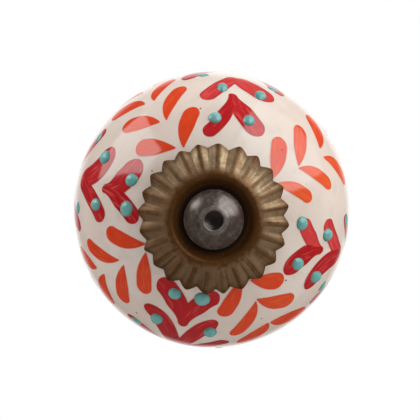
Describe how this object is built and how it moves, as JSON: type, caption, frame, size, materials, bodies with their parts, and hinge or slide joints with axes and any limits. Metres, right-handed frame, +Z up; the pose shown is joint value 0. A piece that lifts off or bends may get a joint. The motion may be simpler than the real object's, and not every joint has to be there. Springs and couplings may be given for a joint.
{
  "type": "ceramic cabinet knob",
  "caption": "Round glazed ceramic knob with painted leaves, chevrons and raised dots, a fluted brass rosette in front, and a bolt, base cup, washer and nut to fix it to a drawer or door.",
  "frame": {"origin": "centre of the mounting face, where the base cup's rim meets the drawer front", "axes": "+Y along the knob's axis from the mounting face towards the bolt's free end, so the knob's front looks along -Y; +Z up"},
  "size_m": [0.0404, 0.078, 0.0404],
  "materials": {
    "glaze": "glossy off-white glaze, hand-painted in orange and red with raised turquoise enamel dots",
    "antique_brass": "pressed sheet brass with a brown antique patina, brighter on the crests of the flutes",
    "dark_steel": "turned steel, darkened and worn grey on the dome",
    "zinc_steel": "dull zinc plate"
  },
  "bodies": {
    "root": {"ceramic_ball": "glaze", "front_rosette": "antique_brass", "bolt": "dark_steel", "base_cup": "antique_brass", "washer": "zinc_steel", "nut": "zinc_steel"}
  },
  "joints": []
}
